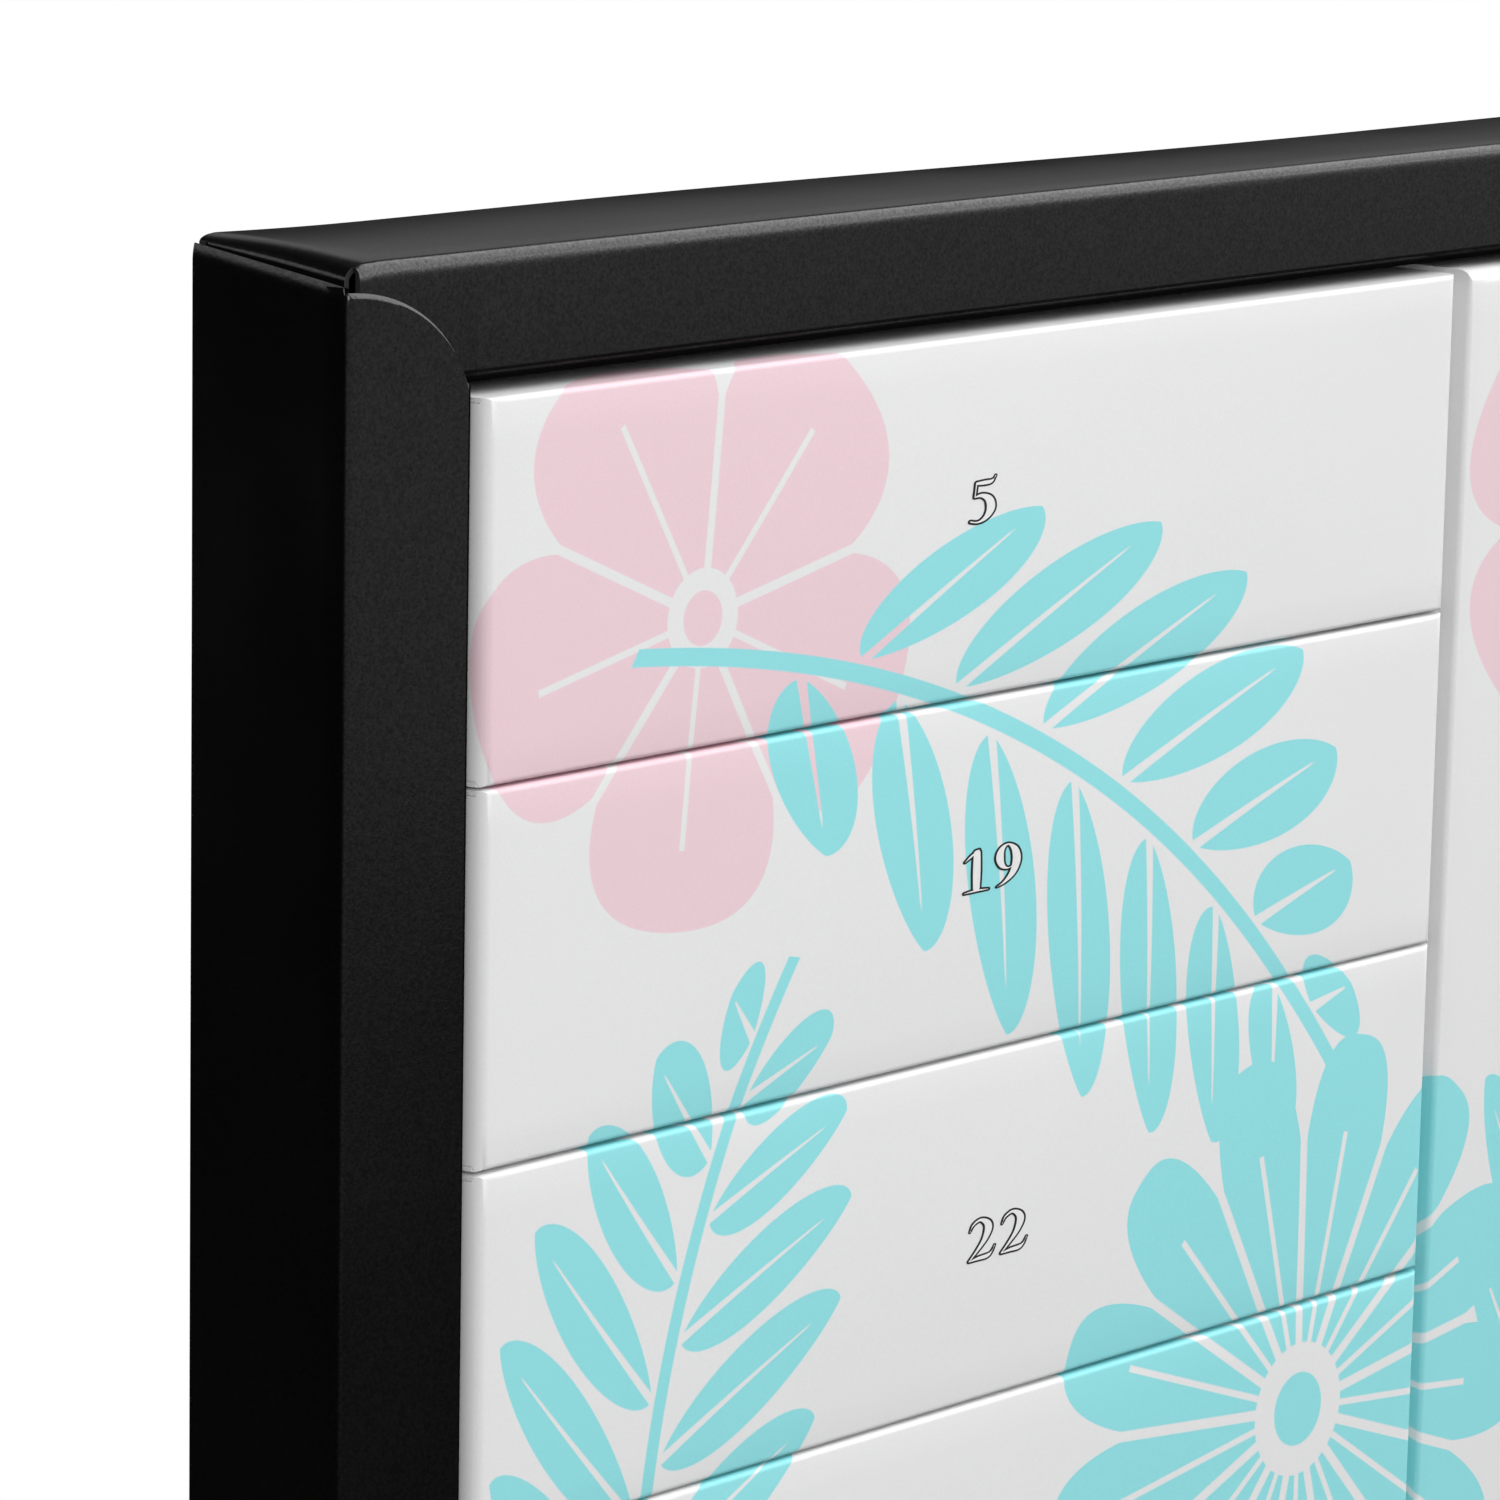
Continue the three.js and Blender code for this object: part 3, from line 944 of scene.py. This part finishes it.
# Wide open-faced figures. The points of a stroke are (x, y, half width) as shares of the height.
DIGIT_STROKE_SHARES = {
    "0": [
        [(0.3, 0.965, 0.035), (0.16, 0.83, 0.075), (0.11, 0.5, 0.1), (0.16, 0.17, 0.075),
         (0.3, 0.035, 0.035), (0.44, 0.17, 0.075), (0.49, 0.5, 0.1), (0.44, 0.83, 0.075),
         (0.3, 0.965, 0.035)],
    ],
    "1": [
        [(0.32, 0.9, 0.09), (0.32, 0.5, 0.1), (0.32, 0.1, 0.09)],
        [(0.07, 0.74, 0.022), (0.2, 0.85, 0.04), (0.36, 0.965, 0.03)],
        [(0.07, 0.03, 0.025), (0.2, 0.04, 0.035), (0.32, 0.045, 0.04), (0.44, 0.04, 0.035),
         (0.57, 0.03, 0.025)],
    ],
    "2": [
        [(0.05, 0.72, 0.015), (0.12, 0.87, 0.035), (0.27, 0.95, 0.05), (0.41, 0.85, 0.085),
         (0.44, 0.69, 0.095), (0.36, 0.46, 0.07), (0.21, 0.24, 0.045), (0.05, 0.04, 0.03)],
        [(0.05, 0.035, 0.03), (0.24, 0.06, 0.055), (0.42, 0.07, 0.062), (0.52, 0.14, 0.03),
         (0.585, 0.28, 0.015)],
    ],
    "3": [
        [(0.06, 0.8, 0.018), (0.15, 0.92, 0.038), (0.29, 0.955, 0.045), (0.43, 0.85, 0.08),
         (0.41, 0.68, 0.07), (0.28, 0.58, 0.035), (0.2, 0.555, 0.02)],
        [(0.2, 0.555, 0.02), (0.36, 0.52, 0.045), (0.47, 0.36, 0.095), (0.44, 0.17, 0.09),
         (0.28, 0.05, 0.045), (0.13, 0.045, 0.04), (0.05, 0.09, 0.04)],
    ],
    "4": [
        [(0.4, 0.95, 0.035), (0.22, 0.62, 0.03), (0.05, 0.3, 0.03)],
        [(0.05, 0.28, 0.035), (0.3, 0.28, 0.045), (0.58, 0.28, 0.035)],
        [(0.42, 0.9, 0.085), (0.42, 0.5, 0.095), (0.42, 0.1, 0.09)],
    ],
    "5": [
        [(0.17, 0.9, 0.05), (0.32, 0.9, 0.062), (0.45, 0.91, 0.055), (0.52, 0.97, 0.022),
         (0.55, 1.03, 0.016)],
        [(0.155, 0.9, 0.032), (0.14, 0.74, 0.03), (0.125, 0.6, 0.03)],
        [(0.125, 0.6, 0.03), (0.27, 0.62, 0.06), (0.42, 0.52, 0.095), (0.46, 0.32, 0.105),
         (0.37, 0.13, 0.07), (0.21, 0.035, 0.038), (0.05, 0.065, 0.035)],
    ],
    "6": [
        [(0.53, 0.97, 0.018), (0.37, 0.89, 0.045), (0.2, 0.7, 0.085), (0.125, 0.43, 0.105),
         (0.17, 0.18, 0.085), (0.31, 0.04, 0.038), (0.44, 0.13, 0.075), (0.48, 0.31, 0.1),
         (0.43, 0.5, 0.075), (0.31, 0.585, 0.035), (0.19, 0.54, 0.03)],
    ],
    "7": [
        [(0.05, 0.79, 0.016), (0.1, 0.9, 0.045), (0.3, 0.92, 0.062), (0.54, 0.935, 0.045)],
        [(0.54, 0.935, 0.035), (0.42, 0.64, 0.055), (0.32, 0.34, 0.075), (0.28, 0.07, 0.07)],
    ],
    "8": [
        [(0.3, 0.55, 0.04), (0.17, 0.65, 0.07), (0.15, 0.82, 0.075), (0.3, 0.965, 0.035),
         (0.45, 0.82, 0.065), (0.43, 0.66, 0.05), (0.3, 0.55, 0.04)],
        [(0.3, 0.55, 0.045), (0.14, 0.42, 0.06), (0.12, 0.21, 0.08), (0.3, 0.035, 0.035),
         (0.49, 0.2, 0.09), (0.46, 0.41, 0.085), (0.3, 0.55, 0.045)],
    ],
}
DIGIT_STROKE_SHARES["9"] = [
    [(DIGIT_WIDTH_SHARE - x, 1 - y, half) for x, y, half in stroke]
    for stroke in DIGIT_STROKE_SHARES["6"]
]


def smooth_between(before, start, end, after, share):
    """A value at a share of the way from start to end, on a smooth curve through all four."""
    linear = 2 * start + (end - before) * share
    square = (2 * before - 5 * start + 4 * end - after) * share ** 2
    cube = (3 * start - before - 3 * end + after) * share ** 3
    return 0.5 * (linear + square + cube)


def smooth_path(points, steps):
    """A smooth line through points."""
    padded = [points[0], *points, points[-1]]
    path = []
    for four in zip(padded, padded[1:], padded[2:], padded[3:]):
        for i in range(steps):
            path.append(tuple(smooth_between(*values, i / steps) for values in zip(*four)))
    path.append(points[-1])
    return path


def stroke_outline(points, grow):
    """Left and right sides of a stroke with round ends, widened by grow, in shares of the height."""
    path = smooth_path(points, STROKE_STEPS)
    stations = []
    for index, (x, y, half) in enumerate(path):
        before = path[max(0, index - 1)]
        after = path[min(len(path) - 1, index + 1)]
        along = Vector((after[0] - before[0], after[1] - before[1])).normalized()
        normal = Vector((-along.y, along.x))
        stations.append((Vector((x, y)), along, normal, half + grow))
    body = [(centre + normal * half, centre - normal * half) for centre, _, normal, half in stations]
    caps = []
    for (centre, along, normal, half), sign in ((stations[0], -1), (stations[-1], 1)):
        cap = []
        for turn in spread(0, math.pi / 2, CAP_STEPS)[:-1]:
            middle = centre + along * (sign * half * math.cos(turn))
            wing = normal * (half * math.sin(turn))
            cap.append((middle + wing, middle - wing))
        caps.append(cap)
    return caps[0] + body + caps[1][::-1]


def number_mesh(name, text, centre, surface, lift, grow):
    """A number's strokes laid on a surface, each one a little over the one before."""
    stretched = DIGIT_STRETCH * DIGIT_HEIGHT
    advance = DIGIT_ADVANCE_SHARE * stretched
    bearing = (DIGIT_ADVANCE_SHARE - DIGIT_WIDTH_SHARE) / 2 * stretched
    start = centre.x - advance * len(text) / 2 + bearing
    strokes = [
        (place, stroke)
        for place, digit in enumerate(text)
        for stroke in DIGIT_STROKE_SHARES[digit]
    ]
    points = []
    faces = []
    for order, (place, stroke) in enumerate(strokes, start=1):
        rise = Vector((0, lift + order * STROKE_LIFT, 0))
        outline = stroke_outline(stroke, grow / DIGIT_HEIGHT)
        for row in range(len(outline) - 1):
            corner = len(points) + 2 * row
            faces.append((corner, corner + 1, corner + 3, corner + 2))
        for left, right in outline:
            for point in (left, right):
                x = start + place * advance + point.x * stretched
                z = centre.z + (point.y - 0.5) * DIGIT_HEIGHT
                points.append(surface(x, z) - rise)
    mesh = bpy.data.meshes.new(name)
    mesh.from_pydata(points, [], faces)
    return mesh


def face_forward(mesh):
    """Joins the points that meet and turns all faces to the front."""
    shape = bmesh.new()
    shape.from_mesh(mesh)
    bmesh.ops.remove_doubles(shape, verts=shape.verts, dist=INK_MERGE_DISTANCE)
    for face in shape.faces:
        face.normal_update()
        if face.normal.y > 0:
            face.normal_flip()
    shape.to_mesh(mesh)
    shape.free()


def build_number(day, centre, surface, ink_dark, ink_white):
    """The figures of one day as layers of ink: a dark one, and a white one that leaves its outline."""
    layers = [
        ("line", INK_LIFT, DIGIT_LINE / 2, ink_dark),
        ("fill", FILL_LIFT, -DIGIT_LINE / 2, ink_white),
    ]
    pieces = []
    for layer, lift, grow, material in layers:
        mesh = number_mesh(f"number_{day:02d}_{layer}", str(day), centre, surface, lift, grow)
        mesh.materials.append(material)
        face_forward(mesh)
        piece = add_object(mesh.name, mesh)
        thicken(piece, INK_THICKNESS)
        settle(piece)
        pieces.append(piece)
    return pieces


# Put together.

black = black_card()
# The card's sheenless inside black, also painted shade on the rails' hems, inner walls and cut edges.
black_inside_and_shade = matt_black_card()
board_black = board_card()
rail_edge = cut_edge("rail_edge", 0.13)
# Near-black cut edges: painted shade on the end rails' edges in the corner notches, and the back
# board's dark core.
board_core_and_shaded_edge = cut_edge("board_core_and_shaded_edge", 0.03)
box_edge = cut_edge("box_edge", 0.78)
white_inside = plain_card()
ink_dark = ink("number_line", (0.008, 0.008, 0.009, 1))
ink_white = ink("number_fill", (0.86, 0.86, 0.86, 1))

rails = [
    build_side_rail("left_rail", -1, (black, black_inside_and_shade, rail_edge)),
    build_side_rail("right_rail", 1, (black, black_inside_and_shade, rail_edge)),
    build_end_rail("top_rail", 1, (black, black_inside_and_shade, board_core_and_shaded_edge)),
    build_end_rail("bottom_rail", -1, (black, black_inside_and_shade, board_core_and_shaded_edge)),
]
for rail in rails:
    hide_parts(rail.name.removesuffix("_card"))
back_board = build_back_board((board_black, black_inside_and_shade, board_core_and_shaded_edge))
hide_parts("back_panel")
for piece in (*rails, back_board):
    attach(piece, "frame")


def either_way(most):
    """A random value between -most and most."""
    return rng.uniform(-most, most)


def build_box(day):
    """One gift box: its lid, its tray and its number."""
    name = f"box_{day:02d}"
    loose_lean = either_way(LOOSE_LEAN_DEGREES)
    lean = math.radians(BLOCK_LEAN_DEGREES.get(day, loose_lean))
    low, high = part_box(name + "_lid")
    print_low = (low.x - PRINT_MARGIN, low.z - PRINT_MARGIN)
    print_high = (high.x + PRINT_MARGIN, high.z + PRINT_MARGIN)
    printed = print_material(name + "_print", print_low, print_high)
    lid = build_case(
        name + "_cover", name + "_lid", lean, LID_CARD, folds=(LID_END_FOLD, LID_SIDE_FOLD),
        growth=LID_END_GROWTH, crown=LID_CROWN, opens_back=True,
        materials=(printed, white_inside, box_edge),
    )
    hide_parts(name + "_lid")
    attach(lid, f"lid_{day:02d}")
    tray = build_case(
        name + "_base", name + "_tray", lean, TRAY_CARD, folds=(TRAY_FOLD, TRAY_FOLD),
        growth=0, crown=0, opens_back=False,
        materials=(white_inside, white_inside, box_edge),
    )
    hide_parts(name + "_tray")
    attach(tray, name)
    centre = (low + high) / 2
    play = (either_way(NUMBER_PLAY_MM), either_way(NUMBER_PLAY_MM))
    right, up = NUMBER_SHIFT_MM.get(day, play)

    def surface(x, z):
        """A point on the lid's front."""
        half_x = (high.x - low.x) / 2
        half_z = (high.z - low.z) / 2
        flatness = (1 - ((x - centre.x) / half_x) ** 2) * (1 - ((z - centre.z) / half_z) ** 2)
        return turned(Vector((x, low.y + LID_CROWN * (1 - flatness), z)), centre, lean)

    for piece in build_number(day, centre + Vector((right, 0, up)) * MM, surface, ink_dark, ink_white):
        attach(piece, f"lid_{day:02d}")


for day in range(1, DAYS + 1):
    build_box(day)


# Studio.

FLOOR_RADIUS = 1.1
FLOOR_SEGMENTS = 96
FLOOR_SHADOW_REACH = (0.16, 0.45)
FLOOR_SHADE_LIT = 0.02
FLOOR_SHADE_SEEN = 0.82

# The sky is light above, less so to the left and high up behind. The tilts lean it forwards.
SKY_TILT = 0.27
SKY_SIDE_TILT = 0.5
SKY_HEIGHTS = (-0.15, 0)
SKY_BEHIND = (0.1, 0.5)
SKY_HEIGHT_BEHIND = 0.2
SKY_SIDES = (-0.9, 0.35)
SKY_LEAST_LEFT = 0.04
SKY_HIGH = (0.3, 0.5)
SKY_SHADE_HIGH_BEHIND = 0.85
SKY_LEVEL = 0.36

LAMP_AIM = Vector((-0.1, 0, 0.22))

# Lamps: name, direction from the aim, distance, size, and level on a surface that faces the lamp.
LAMPS = [
    ("key", (0.62, -0.4, 0.7), 1.8, 2.2, 1.28),
    ("fill", (-0.54, -0.73, 0.44), 1.8, 1.1, 0.55),
    ("rear", (-0.1, 0.97, 0.2), 1.8, 1.9, 0.22),
    ("edge", (-0.68, 0.66, 0.32), 1.8, 0.5, 0.03),
]


def mix_shaders(tree, output, share, first, second):
    """Joins a mix of two shaders to an output."""
    mix = tree.nodes.new("ShaderNodeMixShader")
    feed(tree, mix.inputs[0], share)
    feed(tree, mix.inputs[1], first.outputs[0])
    feed(tree, mix.inputs[2], second.outputs[0])
    feed(tree, output.inputs["Surface"], mix.outputs[0])


def build_floor():
    """A pale floor that keeps the calendar's shadow and is plain white for the camera further off.

    It throws little light back, so that the black card stays black below.
    """
    _, high = cad_bounds
    mesh = bpy.data.meshes.new("floor")
    shape = bmesh.new()
    bmesh.ops.create_circle(shape, cap_ends=True, radius=FLOOR_RADIUS, segments=FLOOR_SEGMENTS)
    shape.to_mesh(mesh)
    shape.free()
    floor = add_object("floor", mesh)
    material, tree, output = new_material("floor")
    place = add_node(tree, "ShaderNodeTexCoord").outputs["Object"]
    parts = add_node(tree, "ShaderNodeSeparateXYZ", Vector=place).outputs
    beside = (abs(Value(tree, parts["X"])) - high[0]).math("MAXIMUM", 0)
    before = Value(tree, parts["Y"])
    away = (beside * beside + before * before).math("SQRT")
    near, far = FLOOR_SHADOW_REACH
    is_camera = Value(tree, add_node(tree, "ShaderNodeLightPath").outputs["Is Camera Ray"])
    share = ((away - near) / (far - near)).clamp() * is_camera
    colour = mix_colour(tree, is_camera, grey(FLOOR_SHADE_LIT), grey(FLOOR_SHADE_SEEN))
    matt = add_node(tree, "ShaderNodeBsdfDiffuse", Color=colour)
    white = add_node(tree, "ShaderNodeEmission", Color=grey(1), Strength=1.0)
    mix_shaders(tree, output, share, matt, white)
    mesh.materials.append(material)


def sky_step(tree, value, reach, low=0, high=1):
    """A smooth step from low to high over a reach of values."""
    node = add_node(
        tree, "ShaderNodeMapRange", {"interpolation_type": "SMOOTHSTEP"}, Value=value,
        From_Min=reach[0], From_Max=reach[1], To_Min=low, To_Max=high,
    )
    return Value(tree, node.outputs["Result"])


def build_world():
    """White for the camera; for the calendar a sky that is light above, in front and to the right."""
    world = bpy.data.worlds.new("studio")
    bpy.context.scene.world = world
    world.use_nodes = True
    tree = world.node_tree
    tree.nodes.clear()
    output = tree.nodes.new("ShaderNodeOutputWorld")
    direction = add_node(tree, "ShaderNodeTexCoord").outputs["Generated"]
    parts = add_node(tree, "ShaderNodeSeparateXYZ", Vector=direction).outputs
    height = Value(tree, parts["Z"]) - Value(tree, parts["Y"]) * SKY_TILT
    rightward = Value(tree, parts["X"]) - Value(tree, parts["Y"]) * SKY_SIDE_TILT
    behind = sky_step(tree, parts["Y"], SKY_BEHIND)
    start, end = SKY_HEIGHTS
    above = sky_step(tree, height, (start, behind * SKY_HEIGHT_BEHIND + end))
    beside = sky_step(tree, rightward, SKY_SIDES, low=SKY_LEAST_LEFT)
    shade = 1 - sky_step(tree, height, SKY_HIGH, high=SKY_SHADE_HIGH_BEHIND) * behind
    level = above * beside * shade * SKY_LEVEL
    light = add_node(tree, "ShaderNodeBackground", Color=grey(1), Strength=level)
    white = add_node(tree, "ShaderNodeBackground", Color=grey(1), Strength=1.0)
    is_camera = add_node(tree, "ShaderNodeLightPath").outputs["Is Camera Ray"]
    mix_shaders(tree, output, is_camera, light, white)


def add_softbox(name, place, aim, size, power):
    """A square area light at a place, facing a point."""
    data = bpy.data.lights.new(name, "AREA")
    data.size = size
    data.energy = power
    lamp = add_object(name, data)
    lamp.location = place
    lamp.rotation_euler = (aim - place).to_track_quat("-Z", "Y").to_euler()


def build_camera():
    """The photograph's camera, placed from the frame's inner top left corner."""
    left_low, left_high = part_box("left_rail")
    top_low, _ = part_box("top_rail")
    corner = Vector((left_high.x, left_low.y, top_low.z))
    level = Matrix.Rotation(CAMERA_YAW, 3, "Z")
    forward = level @ Vector((0, math.cos(CAMERA_PITCH), -math.sin(CAMERA_PITCH)))
    right = level @ Vector((1, 0, 0))
    up = right.cross(forward)
    rolled_right = math.cos(CAMERA_ROLL) * right + math.sin(CAMERA_ROLL) * up
    rolled_up = math.cos(CAMERA_ROLL) * up - math.sin(CAMERA_ROLL) * right
    data = bpy.data.cameras.new("camera")
    data.sensor_width = SENSOR_WIDTH_MM
    data.lens = FOCAL_LENGTH_PX / PHOTO_SIZE_PX * SENSOR_WIDTH_MM
    data.clip_start = CAMERA_CLIP_START
    camera = add_object("camera", data)
    pose = Matrix((rolled_right, rolled_up, -forward)).transposed().to_4x4()
    pose.translation = corner + CAMERA_FROM_CORNER
    camera.matrix_world = pose
    bpy.context.scene.camera = camera


build_floor()
build_world()
build_camera()
for name, direction, distance, size, level in LAMPS:
    way = Vector(direction).normalized()
    add_softbox(name, LAMP_AIM + way * distance, LAMP_AIM, size, level * math.pi ** 2 * distance ** 2)
bpy.context.scene.view_settings.view_transform = "Standard"
